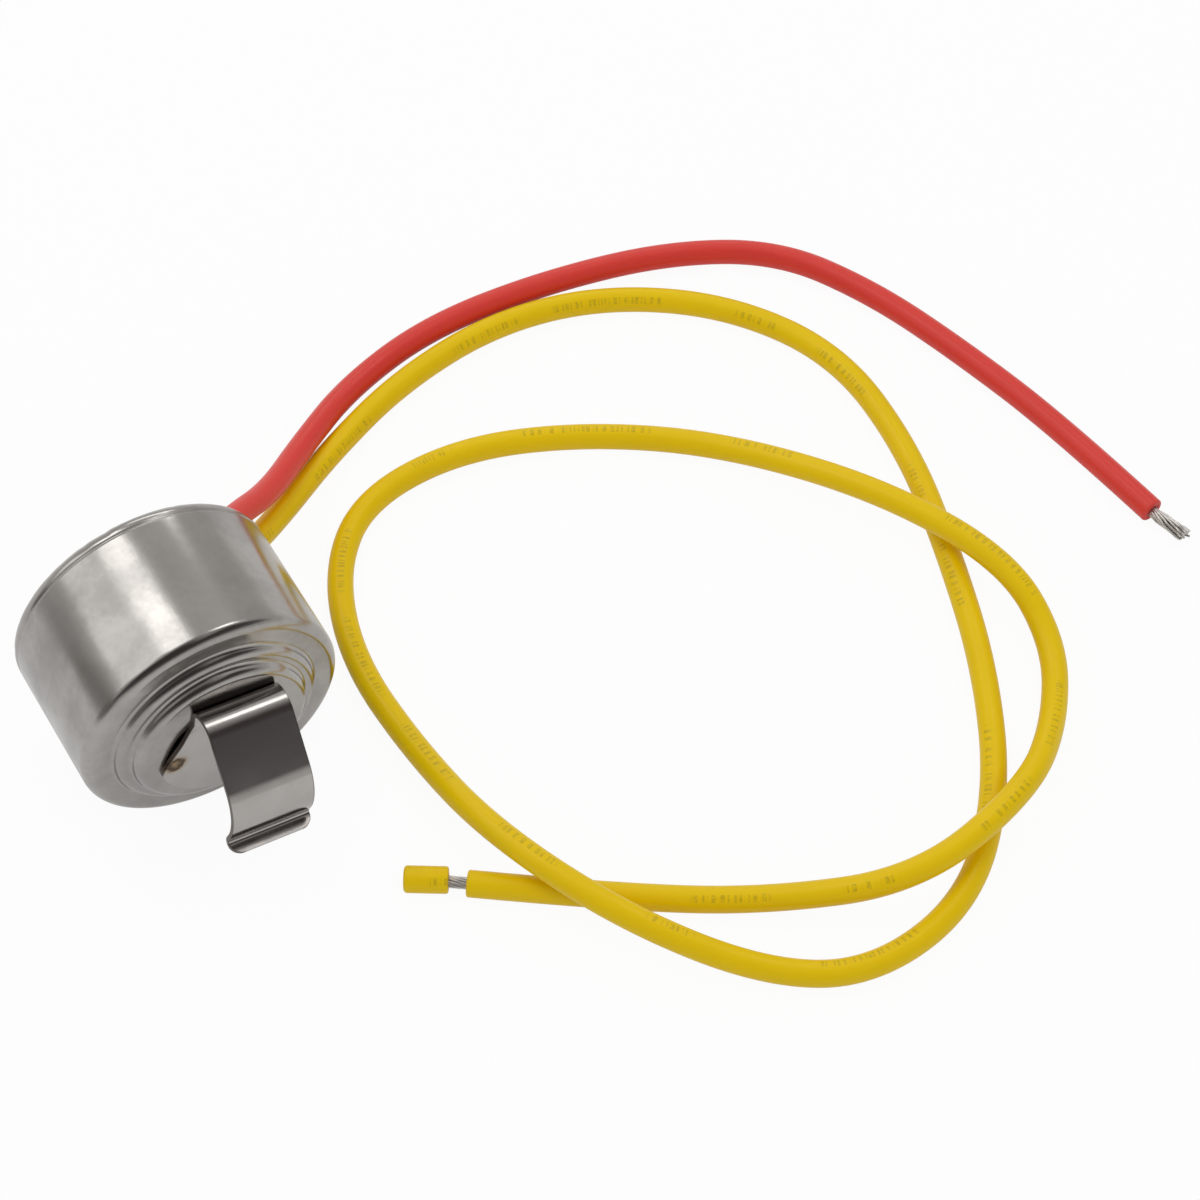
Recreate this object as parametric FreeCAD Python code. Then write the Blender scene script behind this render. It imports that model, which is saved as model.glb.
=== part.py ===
"""Sealed defrost thermostat with a spring tube clip and two loose leads.

Row frame: +Z up, the can lies on its side along Y, its sensing face and clip towards -Y,
the origin on the floor under the middle of the can and clip. All sizes in millimetres.
The can's own coordinates are x to the right, d behind the sensing face, h above the axis.
"""
import FreeCAD, Part
import math
import os

Vector = FreeCAD.Vector

# Drawn can
can_radius = 14.1
can_length = 17.0
can_sheet = 0.4
shoulder_bend = 1.0
rim_bend = 1.1
rim_mouth_radius = 11.9
middle_radius = 9.3
middle_height = 2.1
ledge_radius = 10.8
ledge_height = 0.95
step_slant = 0.3
step_bend = 0.35

# Tube clip: heights up from the axis, reaches out from the sensing face
clip_sheet = 0.45
clip_width = 9.0
clip_turn = 10.0
clip_shift = 0.8
plate_radius = 8.0
ear_drop = 1.4
neck_height = 3.6
bend_height = 6.2
top_height = 7.0
top_reach = 2.2
arch_height = 0.6
arch_reach = 9.15
brow_height = -2.7
crease_height = -5.0
crease_drop = 0.8
lip_length = 1.7
lip_droop = 0.35
clip_root_bend = 0.8
clip_top_bend = 0.9
clip_arch_bend = 5.2
clip_brow_bend = 5.0
clip_crease_bend = 0.5
lip_corner = 0.8
ear_round = 0.6

# Bimetal disc, its retainer and the pin that it pushes
disc_sheet = 0.25
disc_dome = 0.5
disc_side_gap = 0.25
disc_trap_gap = 0.05
retainer_thick = 1.0
trap_ring_width = 0.8
pin_radius = 1.0
pin_tip_round = 1.6
pin_running_gap = 0.05
pin_end_gap = 0.02

# Switch base and its chamber
liner_thick = 0.35
liner_gap = 0.05
base_gap = 0.1
base_thick = 6.2
chamber_floor = 1.6
chamber_half_width = 3.4
chamber_half_length = 10.4
seat_rise = 1.8
seat_length = 3.8
cover_thick = 1.0

# Contacts, arm and terminals
strip_thick = 0.5
foot_half_width = 2.3
foot_end_gap = 0.1
arm_thick = 0.2
arm_half_width = 2.2
arm_root_gap = 0.15
arm_overhang = 2.0
arm_weld_gap = 0.02
contact_end_gap = 0.9
contact_radius = 1.6
contact_gap = 0.05
fixed_contact_thick = 0.8
contact_shank_radius = 0.7
contact_head_radius = 1.1
contact_head_thick = 0.3
rivet_edge = 0.75
rivet_radius = 0.5
rivet_head_radius = 0.8
rivet_head_thick = 0.4
rivet_tail_depth = 0.6
riser_half_width = 0.75
riser_edge = 0.25
tail_half_width = 0.9
slot_gap = 0.15
barrel_radius = 1.2
barrel_length = 2.0
barrel_standoff = 0.3
barrel_floor = 0.4
crimp_gap = 0.02

# Leads and the resin that they leave
lead_diameter = 2.8
strand_diameter = 1.25
lead_offset = 8.2
yellow_exit_height = -4.6
red_exit_height = 1.4
insulation_start_gap = 0.3
resin_recess = 1.8
resin_bore_gap = 0.02
resin_edge_gap = 0.02
resin_pocket_gap = 0.4
resin_mouth_depth = 1.7
resin_mouth_flare = 0.25
exit_straight = 0.4
yellow_strip_gap = 1.8
yellow_sleeve_length = 4.7
sleeve_bore_gap = 0.02
red_bare_length = 4.6
crossing_clearance = 3.0
arc_share = 0.45

# Places that follow from the sizes
lead_radius = lead_diameter / 2
strand_radius = strand_diameter / 2
floor_line = lead_radius
hump = floor_line + lead_diameter + crossing_clearance
inner_radius = can_radius - can_sheet
liner_inner = inner_radius - liner_gap - liner_thick
base_radius = liner_inner - base_gap
ledge_floor = can_sheet - ledge_height
disc_radius = ledge_radius - can_sheet - disc_side_gap
retainer_front = can_sheet
retainer_radius = inner_radius - shoulder_bend
base_front = retainer_front + retainer_thick
base_back = base_front + base_thick
floor_level = base_front + chamber_floor
seat_level = floor_level + seat_rise
arm_level = seat_level + strip_thick + arm_weld_gap
cover_back = base_back + cover_thick
barrel_front = cover_back + barrel_standoff
barrel_back = barrel_front + barrel_length
lead_start = barrel_back + insulation_start_gap
resin_back = can_length - resin_recess
seat_line = chamber_half_length - seat_length
foot_start = seat_line + foot_end_gap
foot_end = chamber_half_length - foot_end_gap
rivet_place = foot_end - rivet_edge
arm_root = rivet_place - rivet_head_radius - arm_root_gap
arm_riser_place = foot_start + riser_edge + riser_half_width
contact_place = contact_end_gap + foot_half_width - chamber_half_length
arm_tip = contact_place - arm_overhang
riser_x = chamber_half_width - foot_end_gap - strip_thick
fixed_contact_face = floor_level + strip_thick + fixed_contact_thick

# Routes beyond the exits, chosen by hand; each crossing has one hump point on either side of it
yellow_route = [
    (9.8, 17.6, 8.6),
    (13.2, 21.0, 6.6),
    (19.6, 24.6, 3.4),
    (28.5, 28.9, floor_line),
    (39.5, 33.5, floor_line),
    (52.0, 35.7, floor_line),
    (65.0, 32.6, floor_line),
    (76.5, 24.3, floor_line),
    (83.8, 11.3, floor_line),
    (83.8, -3.7, floor_line),
    (80.0, -18.2, floor_line),
    (75.2, -31.2, floor_line),
    (67.5, -43.7, floor_line),
    (57.0, -52.8, floor_line),
    (44.5, -54.5, floor_line),
    (34.8, -47.7, floor_line),
    (25.2, -36.8, hump),
    (18.3, -21.0, hump),
    (18.2, -6.7, floor_line),
    (18.0, 5.3, floor_line),
    (21.6, 15.2, floor_line),
    (29.8, 21.7, floor_line),
    (42.0, 22.0, floor_line),
    (54.5, 16.8, floor_line),
    (66.5, 7.6, floor_line),
    (76.0, -9.2, hump),
    (82.2, -24.4, hump),
    (82.2, -33.0, 2.6),
    (76.9, -42.2, 2.6),
    (69.0, -48.4, hump),
    (51.5, -51.0, hump),
    (39.5, -41.6, floor_line),
    (27.2, -33.4, floor_line),
    (15.6, -25.1, floor_line),
]
red_route = [
    (9.7, 18.0, 14.2),
    (13.0, 22.0, 11.4),
    (18.6, 26.0, 7.4),
    (25.6, 30.7, 4.2),
    (35.5, 35.8, floor_line),
    (47.5, 38.5, floor_line),
    (61.0, 37.8, floor_line),
    (74.5, 34.5, floor_line),
    (85.5, 27.5, floor_line),
    (91.8, 16.7, floor_line),
    (95.5, 5.1, floor_line),
    (98.9, -9.1, floor_line),
    (101.9, -23.1, floor_line),
]


# Helpers for lines with rounded corners


def turn_between(before, corner, after):
    """Angle in radians by which a line of three points turns at the middle one."""
    return (corner - before).getAngle(after - corner)


def rounded_edges(points, radii):
    """Straight edges joined by tangent arcs; one radius for each inner point."""
    edges = []
    here = points[0]
    for before, corner, after, radius in zip(points, points[1:], points[2:], radii):
        way_in = (corner - before).normalize()
        way_out = (after - corner).normalize()
        half_turn = turn_between(before, corner, after) / 2
        reach = radius * math.tan(half_turn)
        arc_start = corner - way_in * reach
        arc_end = corner + way_out * reach
        inward = (way_out - way_in).normalize()
        arc_middle = corner + inward * (radius / math.cos(half_turn) - radius)
        edges.append(Part.LineSegment(here, arc_start).toShape())
        edges.append(Part.Arc(arc_start, arc_middle, arc_end).toShape())
        here = arc_end
    edges.append(Part.LineSegment(here, points[-1]).toShape())
    return edges


def shifted_line(points, radii, shift):
    """A flat line in X and Y moved to its left by shift, with its corner radii to match."""
    ways = [(b - a).normalize() for a, b in zip(points, points[1:])]
    lefts = [Vector(-way.y, way.x, 0) for way in ways]
    moved = [points[0] + lefts[0] * shift]
    moved_radii = []
    for corner, radius, left_in, left_out, way_in in zip(points[1:], radii, lefts, lefts[1:], ways):
        moved.append(corner + (left_in + left_out) * (shift / (1 + left_in.dot(left_out))))
        turns_left = left_out.dot(way_in) < 0
        moved_radii.append(radius - shift if turns_left else radius + shift)
    moved.append(points[-1] + lefts[-1] * shift)
    return moved, moved_radii


def sheet_section(points, radii, thickness):
    """Face of a bent sheet whose middle line is given by flat points and bend radii."""
    left, left_radii = shifted_line(points, radii, thickness / 2)
    right, right_radii = shifted_line(points, radii, -thickness / 2)
    edges = rounded_edges(left, left_radii) + rounded_edges(right, right_radii)
    edges.append(Part.LineSegment(left[0], right[0]).toShape())
    edges.append(Part.LineSegment(left[-1], right[-1]).toShape())
    return Part.Face(Part.Wire(Part.sortEdges(edges)[0]))


# Helpers in the can's own coordinates


def block(x_span, d_span, h_span):
    size = [span[1] - span[0] for span in (x_span, d_span, h_span)]
    return Part.makeBox(*size, Vector(x_span[0], d_span[0], h_span[0]))


def rod(radius, d_span, x=0.0, h=0.0):
    return Part.makeCylinder(radius, d_span[1] - d_span[0], Vector(x, d_span[0], h), Vector(0, 1, 0))


def around(middle, half_width):
    return (middle - half_width, middle + half_width)


def turned(face):
    """Solid of revolution about the can's axis of a face drawn in radius and depth."""
    return face.revolve(Vector(0, 0, 0), Vector(0, 1, 0), 360)


# Can and clip


def make_housing_can():
    middle = can_sheet / 2
    wall = can_radius - middle
    front = middle - middle_height
    ledge = middle - ledge_height
    line = [
        (0, front),
        (middle_radius - middle, front),
        (middle_radius - middle + step_slant, ledge),
        (ledge_radius - middle, ledge),
        (ledge_radius - middle + step_slant, middle),
        (wall, middle),
        (wall, can_length - middle),
        (rim_mouth_radius, can_length - middle),
    ]
    bends = [step_bend, step_bend, step_bend, step_bend, shoulder_bend, rim_bend]
    section = sheet_section([Vector(radius, depth, 0) for radius, depth in line], bends, can_sheet)
    return turned(section)


def clip_spring():
    """The spring tongue, drawn as height and reach and pushed out to the clip's width."""
    plate_middle = middle_height + clip_sheet / 2
    arch = plate_middle + arch_reach
    crease = arch - crease_drop
    line = [
        (neck_height - clip_sheet, plate_middle),
        (bend_height, plate_middle),
        (top_height, plate_middle + top_reach),
        (arch_height, arch),
        (brow_height, arch),
        (crease_height, crease),
        (crease_height - lip_droop, crease + lip_length),
    ]
    bends = [clip_root_bend, clip_top_bend, clip_arch_bend, clip_brow_bend, clip_crease_bend]
    section = sheet_section([Vector(height, reach, 0) for height, reach in line], bends, clip_sheet)
    spring = section.extrude(Vector(0, 0, clip_width))
    lip_line = crease + lip_length - clip_sheet
    corners = [edge for edge in spring.Edges if edge.CenterOfMass.y > lip_line and is_lip_corner(edge)]
    spring = spring.makeFillet(lip_corner, corners)
    spring.rotate(Vector(0, 0, 0), Vector(1, 0, 1), 180)
    spring.translate(Vector(-clip_width / 2, 0, 0))
    return spring


def is_lip_corner(edge):
    """True for the short edges through the sheet at the lip's two corners."""
    return abs(edge.Length - clip_sheet) < clip_sheet / 10


def clip_plate():
    """Round plate with an ear on either side of the neck that carries the spring."""
    ear = math.sqrt(plate_radius**2 - ear_drop**2)
    neck = clip_width / 2
    face_depth = -middle_height - clip_sheet
    left_ear = Vector(-ear, face_depth, -ear_drop)
    right_ear = Vector(ear, face_depth, -ear_drop)
    left_neck = Vector(-neck, face_depth, neck_height)
    right_neck = Vector(neck, face_depth, neck_height)
    edges = [
        Part.Arc(left_ear, Vector(0, face_depth, -plate_radius), right_ear).toShape(),
        Part.LineSegment(right_ear, right_neck).toShape(),
        Part.LineSegment(right_neck, left_neck).toShape(),
        Part.LineSegment(left_neck, left_ear).toShape(),
    ]
    plate = Part.Face(Part.Wire(edges)).extrude(Vector(0, clip_sheet, 0))
    tips = [edge for edge in plate.Edges if is_ear_tip(edge, ear)]
    return plate.makeFillet(ear_round, tips)


def is_ear_tip(edge, ear):
    """True for the two edges through the plate at the points of its ears."""
    middle = edge.CenterOfMass
    return abs(abs(middle.x) - ear) < clip_sheet and abs(edge.Length - clip_sheet) < clip_sheet / 10


def make_tube_clip():
    clip = clip_plate().fuse(clip_spring()).removeSplitter()
    clip.rotate(Vector(0, 0, 0), Vector(0, 1, 0), clip_turn)
    clip.translate(Vector(clip_shift, 0, 0))
    return clip


# Bimetal disc, retainer and pin


def cap_depth(radius, sphere):
    """How far a sphere's cap has risen at a radius from its middle."""
    return sphere - math.sqrt(sphere**2 - radius**2)


def make_bimetal_disc():
    """Thin disc with a flat rim on the ledge, its middle bulging into the pocket below."""
    dish_radius = middle_radius - can_sheet
    sphere = (dish_radius**2 + disc_dome**2) / (2 * disc_dome)
    crown = ledge_floor - disc_dome
    half_way = dish_radius / 2
    front = [
        Vector(0, crown, 0),
        Vector(half_way, crown + cap_depth(half_way, sphere), 0),
        Vector(dish_radius, ledge_floor, 0),
        Vector(disc_radius, ledge_floor, 0),
    ]
    back = [point + Vector(0, disc_sheet, 0) for point in front]
    edges = [
        Part.Arc(*front[:3]).toShape(),
        Part.LineSegment(front[2], front[3]).toShape(),
        Part.LineSegment(front[3], back[3]).toShape(),
        Part.LineSegment(back[3], back[2]).toShape(),
        Part.Arc(back[2], back[1], back[0]).toShape(),
        Part.LineSegment(back[0], front[0]).toShape(),
    ]
    return turned(Part.Face(Part.Wire(edges)))


def make_disc_retainer():
    trap_front = ledge_floor + disc_sheet + disc_trap_gap
    plate = rod(retainer_radius, (retainer_front, base_front))
    trap_ring = rod(disc_radius, (trap_front, retainer_front))
    trap_ring = trap_ring.cut(rod(disc_radius - trap_ring_width, (trap_front, retainer_front)))
    bore = rod(pin_radius + pin_running_gap, (retainer_front, base_front))
    return plate.fuse(trap_ring).cut(bore).removeSplitter()


def make_transfer_pin():
    """Ceramic pin with rounded tips, from the disc's crown to the contact arm."""
    front = ledge_floor - disc_dome + disc_sheet + pin_end_gap
    back = arm_level - pin_end_gap
    radii = (0, pin_radius / 2, pin_radius)
    front_tip = [Vector(radius, front + cap_depth(radius, pin_tip_round), 0) for radius in radii]
    back_tip = [Vector(radius, back - cap_depth(radius, pin_tip_round), 0) for radius in reversed(radii)]
    edges = [
        Part.Arc(*front_tip).toShape(),
        Part.LineSegment(front_tip[-1], back_tip[0]).toShape(),
        Part.Arc(*back_tip).toShape(),
        Part.LineSegment(back_tip[-1], front_tip[0]).toShape(),
    ]
    return turned(Part.Face(Part.Wire(edges)))


# Switch


def terminal_tail(riser_place, exit_height, grow=0.0):
    """The flat L behind the base, from a riser to below its lead; grown, it is the groove's tool."""
    riser = around(riser_place, riser_half_width + grow)
    depth = (base_back - strip_thick, base_back)
    half_width = tail_half_width + grow
    across = block((riser_x - grow, lead_offset + half_width), depth, riser)
    below_lead = around(exit_height, half_width)
    heights = (min(riser[0], below_lead[0]), max(riser[1], below_lead[1]))
    along = block(around(lead_offset, half_width), depth, heights)
    return across.fuse(along)


def make_terminal(foot, foot_level, riser_place, exit_height):
    """One pressed strip: foot, riser, tail, tab and the barrel that grips the lead."""
    riser = block(
        (riser_x, riser_x + strip_thick), (foot_level, base_back), around(riser_place, riser_half_width)
    )
    tab = block(
        around(lead_offset, strip_thick / 2),
        (base_back - strip_thick, barrel_front),
        around(exit_height, tail_half_width),
    )
    barrel = rod(barrel_radius, (barrel_front, barrel_back), lead_offset, exit_height)
    grip_span = (barrel_front + barrel_floor, barrel_back)
    grip = rod(strand_radius + crimp_gap, grip_span, lead_offset, exit_height)
    tail = terminal_tail(riser_place, exit_height)
    return foot.fuse([riser, tail, tab, barrel]).removeSplitter().cut(grip)


def make_arm_terminal():
    span = (-foot_half_width, riser_x + strip_thick)
    foot = block(span, (seat_level, seat_level + strip_thick), (foot_start, foot_end))
    foot = foot.cut(rod(rivet_radius, (seat_level, seat_level + strip_thick), 0, rivet_place))
    return make_terminal(foot, seat_level, arm_riser_place, red_exit_height)


def make_fixed_terminal():
    span = (-foot_half_width, riser_x + strip_thick)
    foot = block(span, (floor_level, floor_level + strip_thick), around(contact_place, foot_half_width))
    foot = foot.cut(rod(contact_shank_radius, (floor_level, floor_level + strip_thick), 0, contact_place))
    return make_terminal(foot, floor_level, contact_place, yellow_exit_height)


def make_switch_base():
    base = rod(base_radius, (base_front, base_back))
    chamber_width = (-chamber_half_width, chamber_half_width)
    tail_depth = (base_front, base_front + rivet_tail_depth)
    cuts = [
        block(chamber_width, (floor_level, base_back), (-chamber_half_length, seat_line)),
        block(chamber_width, (seat_level, base_back), (seat_line, chamber_half_length)),
        rod(pin_radius + pin_running_gap, (base_front, floor_level)),
        rod(rivet_radius, (base_front, seat_level), 0, rivet_place),
        rod(rivet_head_radius, tail_depth, 0, rivet_place),
        rod(contact_shank_radius, (base_front, floor_level), 0, contact_place),
        rod(contact_head_radius, tail_depth, 0, contact_place),
        terminal_tail(arm_riser_place, red_exit_height, slot_gap),
        terminal_tail(contact_place, yellow_exit_height, slot_gap),
    ]
    return base.cut(cuts).removeSplitter()


def make_contact_arm():
    arm = block(around(0, arm_half_width), (arm_level, arm_level + arm_thick), (arm_tip, arm_root))
    return arm.cut(rod(contact_shank_radius, (arm_level, arm_level + arm_thick), 0, contact_place))


def make_moving_contact():
    head_back = arm_level + arm_thick
    button = rod(contact_radius, (fixed_contact_face + contact_gap, arm_level), 0, contact_place)
    shank = rod(contact_shank_radius, (arm_level, head_back), 0, contact_place)
    head = rod(contact_head_radius, (head_back, head_back + contact_head_thick), 0, contact_place)
    return button.fuse([shank, head]).removeSplitter()


def make_fixed_contact():
    foot_back = floor_level + strip_thick
    button = rod(contact_radius, (foot_back, fixed_contact_face), 0, contact_place)
    shank = rod(contact_shank_radius, (base_front, foot_back), 0, contact_place)
    tail = rod(contact_head_radius, (base_front, base_front + rivet_tail_depth), 0, contact_place)
    return button.fuse([shank, tail]).removeSplitter()


def make_arm_rivet():
    foot_back = seat_level + strip_thick
    head = rod(rivet_head_radius, (foot_back, foot_back + rivet_head_thick), 0, rivet_place)
    shank = rod(rivet_radius, (base_front, foot_back), 0, rivet_place)
    tail = rod(rivet_head_radius, (base_front, base_front + rivet_tail_depth), 0, rivet_place)
    return head.fuse([shank, tail]).removeSplitter()


def make_chamber_cover():
    cover = rod(base_radius, (base_back, cover_back))
    slots = [
        block(
            around(lead_offset, strip_thick / 2 + slot_gap),
            (base_back, cover_back),
            around(height, tail_half_width + slot_gap),
        )
        for height in (yellow_exit_height, red_exit_height)
    ]
    return cover.cut(slots)


def make_can_liner():
    span = (base_front, can_length - can_sheet / 2 - rim_bend)
    return rod(liner_inner + liner_thick, span).cut(rod(liner_inner, span))


def make_sealing_resin():
    """Resin cast around both leads; each bore flares at its mouth, where the lead starts to bend."""
    resin = rod(liner_inner - resin_edge_gap, (cover_back, resin_back))
    bore_radius = lead_radius + resin_bore_gap
    holes = []
    for height in (yellow_exit_height, red_exit_height):
        holes.append(rod(barrel_radius + resin_pocket_gap, (cover_back, lead_start), lead_offset, height))
        holes.append(rod(bore_radius, (lead_start, resin_back), lead_offset, height))
        mouth = Vector(lead_offset, resin_back - resin_mouth_depth, height)
        mouth_radius = bore_radius + resin_mouth_flare
        holes.append(Part.makeCone(bore_radius, mouth_radius, resin_mouth_depth, mouth, Vector(0, 1, 0)))
    return resin.cut(holes)


# Leads, in the row frame


def lead_points(exit_height, route, face_place):
    """Route with its two first points at the lead's own exit from the resin."""
    height = can_radius + exit_height
    start = Vector(lead_offset, face_place + lead_start, height)
    bend = Vector(lead_offset, face_place + resin_back + exit_straight, height)
    return [start, bend] + [Vector(*point) for point in route]


def make_lead(name, points):
    """Plain round lead along straight runs joined by arcs as large as the runs allow."""
    radii = []
    for before, corner, after in zip(points, points[1:], points[2:]):
        shorter = min((corner - before).Length, (after - corner).Length)
        radii.append(arc_share * shorter / math.tan(turn_between(before, corner, after) / 2))
    path = Part.Wire(rounded_edges(points, radii))
    section = Part.Wire(Part.makeCircle(lead_radius, points[0], points[1] - points[0]))
    lead = path.makePipeShell([section], True, False)
    expected = math.pi * lead_radius**2 * path.Length
    print(name, "radii", [round(radius, 1) for radius in radii])
    print(name, "length", round(path.Length, 1), "volume ratio", round(lead.Volume / expected, 5))
    return lead


def along_end(points, radius, span):
    """Straight round piece that carries a lead's last run on, from one distance to another."""
    way = (points[-1] - points[-2]).normalize()
    return Part.makeCylinder(radius, span[1] - span[0], points[-1] + way * span[0], way)


def make_yellow_end_sleeve(points):
    span = (yellow_strip_gap, yellow_strip_gap + yellow_sleeve_length)
    return along_end(points, lead_radius, span).cut(along_end(points, strand_radius + sleeve_bore_gap, span))


def make_crimped_end(exit_height):
    return rod(strand_radius, (barrel_front + barrel_floor, lead_start), lead_offset, exit_height)


# Writing


def main():
    os.makedirs("parts", exist_ok=True)
    can_pieces = {
        "housing_can": make_housing_can(),
        "tube_clip": make_tube_clip(),
        "bimetal_disc": make_bimetal_disc(),
        "disc_retainer": make_disc_retainer(),
        "transfer_pin": make_transfer_pin(),
        "switch_base": make_switch_base(),
        "contact_arm": make_contact_arm(),
        "moving_contact": make_moving_contact(),
        "fixed_contact": make_fixed_contact(),
        "fixed_terminal": make_fixed_terminal(),
        "arm_terminal": make_arm_terminal(),
        "arm_rivet": make_arm_rivet(),
        "chamber_cover": make_chamber_cover(),
        "can_liner": make_can_liner(),
        "sealing_resin": make_sealing_resin(),
        "red_crimped_end": make_crimped_end(red_exit_height),
        "yellow_crimped_end": make_crimped_end(yellow_exit_height),
    }
    clip_reach = -can_pieces["tube_clip"].BoundBox.YMin
    face_place = (clip_reach - can_length) / 2
    for piece in can_pieces.values():
        piece.translate(Vector(0, face_place, can_radius))
    yellow_points = lead_points(yellow_exit_height, yellow_route, face_place)
    red_points = lead_points(red_exit_height, red_route, face_place)
    yellow_bare_length = yellow_strip_gap + yellow_sleeve_length
    lead_pieces = {
        "yellow_lead": make_lead("yellow", yellow_points),
        "yellow_bare_end": along_end(yellow_points, strand_radius, (0, yellow_bare_length)),
        "yellow_end_sleeve": make_yellow_end_sleeve(yellow_points),
        "red_lead": make_lead("red", red_points),
        "red_bare_end": along_end(red_points, strand_radius, (0, red_bare_length)),
    }
    for name, piece in {**can_pieces, **lead_pieces}.items():
        print(name, len(piece.Solids), piece.isValid(), round(piece.Volume, 2))
        piece.exportStep("parts/" + name + ".step")
    print("sensing face at", round(face_place, 3))


main()
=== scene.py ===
"""Dressed model of a sealed defrost thermostat: drawn can, spring tube clip and two loose leads.

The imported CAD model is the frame. Everything here is in metres, in its frame: +Z up, the can
lies along Y with its sensing face and clip towards -Y, and its leads leave towards +Y.
"""
import math

import bmesh
import bpy
from mathutils import Matrix, Vector


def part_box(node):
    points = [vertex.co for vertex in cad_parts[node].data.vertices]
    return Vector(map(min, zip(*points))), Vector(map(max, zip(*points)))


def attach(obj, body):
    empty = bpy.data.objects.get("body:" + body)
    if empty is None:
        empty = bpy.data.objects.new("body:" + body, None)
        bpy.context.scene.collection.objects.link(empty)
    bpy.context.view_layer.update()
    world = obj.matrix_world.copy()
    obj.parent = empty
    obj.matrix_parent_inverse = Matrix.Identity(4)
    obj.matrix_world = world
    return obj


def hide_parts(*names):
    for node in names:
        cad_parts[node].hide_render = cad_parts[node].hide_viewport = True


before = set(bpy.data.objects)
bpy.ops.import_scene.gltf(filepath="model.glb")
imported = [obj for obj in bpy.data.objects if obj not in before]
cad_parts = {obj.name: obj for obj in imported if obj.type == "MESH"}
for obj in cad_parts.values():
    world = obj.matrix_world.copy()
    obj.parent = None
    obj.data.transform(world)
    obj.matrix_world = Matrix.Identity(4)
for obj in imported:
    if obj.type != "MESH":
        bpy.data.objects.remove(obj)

bl_info = {
    "name": "Defrost thermostat",
    "version": (1, 0, 0),
    "blender": (4, 5, 0),
    "location": "View3D > Sidebar > Thermostat",
    "description": "Builds the looks of a clip-on defrost thermostat around its CAD frame",
    "category": "Object",
}

MM = 0.001
BODY = "can"

# Places taken from the frame
CAN_LOW, CAN_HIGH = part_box("housing_can")
CLIP_LOW, CLIP_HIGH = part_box("tube_clip")
RESIN_LOW, RESIN_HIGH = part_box("sealing_resin")
AXIS_HEIGHT = (CAN_LOW.z + CAN_HIGH.z) / 2
CAN_RADIUS = (CAN_HIGH.z - CAN_LOW.z) / 2
CAN_BACK = CAN_HIGH.y
RESIN_BACK = RESIN_HIGH.y

# Lead routes: the control points of one smooth line each
LEAD_START = CAN_BACK - 5.8 * MM
LEAD_BEND = RESIN_BACK + 0.4 * MM
YELLOW_POINTS = [
    (0.0082, LEAD_START, AXIS_HEIGHT - 0.0046),
    (0.0082, LEAD_BEND, AXIS_HEIGHT - 0.0046),
    (0.0098, 0.0163, 0.0088),
    (0.0138, 0.0188, 0.0066),
    (0.0200, 0.0233, 0.0034),
    (0.0287, 0.0290, 0.0014),
    (0.0399, 0.0335, 0.0014),
    (0.0529, 0.0353, 0.0014),
    (0.0653, 0.0324, 0.0014),
    (0.0768, 0.0242, 0.0014),
    (0.0838, 0.0121, 0.0014),
    (0.0835, -0.0027, 0.0014),
    (0.0795, -0.0173, 0.0014),
    (0.0749, -0.0305, 0.0014),
    (0.0678, -0.0434, 0.0014),
    (0.0581, -0.0525, 0.0014),
    (0.0454, -0.0543, 0.0014),
    (0.0361, -0.0487, 0.0014),
    (0.0263, -0.0377, 0.0049),
    (0.0199, -0.0228, 0.0049),
    (0.0186, -0.0087, 0.0014),
    (0.0182, 0.0042, 0.0014),
    (0.0219, 0.0150, 0.0014),
    (0.0289, 0.0215, 0.0014),
    (0.0410, 0.0222, 0.0014),
    (0.0538, 0.0171, 0.0014),
    (0.0662, 0.0083, 0.0014),
    (0.0763, -0.0074, 0.0049),
    (0.0830, -0.0220, 0.0049),
    (0.0828, -0.0318, 0.0019),
    (0.0773, -0.0398, 0.0019),
    (0.0692, -0.0461, 0.0049),
    (0.0540, -0.0493, 0.0049),
    (0.0405, -0.0420, 0.0014),
    (0.0277, -0.0339, 0.0014),
    (0.0159, -0.0252, 0.0014),
]
RED_POINTS = [
    (0.0082, LEAD_START, AXIS_HEIGHT + 0.0014),
    (0.0082, LEAD_BEND, AXIS_HEIGHT + 0.0014),
    (0.0100, 0.0172, 0.0142),
    (0.0135, 0.0202, 0.0114),
    (0.0191, 0.0237, 0.0074),
    (0.0255, 0.0293, 0.0042),
    (0.0346, 0.0357, 0.0014),
    (0.0463, 0.0385, 0.0014),
    (0.0604, 0.0375, 0.0014),
    (0.0748, 0.0341, 0.0014),
    (0.0859, 0.0278, 0.0014),
    (0.0919, 0.0174, 0.0014),
    (0.0958, 0.0057, 0.0014),
    (0.0995, -0.0085, 0.0014),
    (0.1017, -0.0228, 0.0014),
]


# Sizes and colours that a user would change


def length_property(name, description, default_mm):
    return bpy.props.FloatProperty(
        name=name, description=description, default=default_mm * MM, min=0.0, precision=5, unit="LENGTH"
    )


def angle_property(name, description, degrees):
    return bpy.props.FloatProperty(
        name=name, description=description, default=math.radians(degrees), subtype="ANGLE"
    )


def colour_property(name, description, default):
    return bpy.props.FloatVectorProperty(
        name=name, description=description, default=default, min=0.0, max=1.0, size=3, subtype="COLOR"
    )


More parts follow.
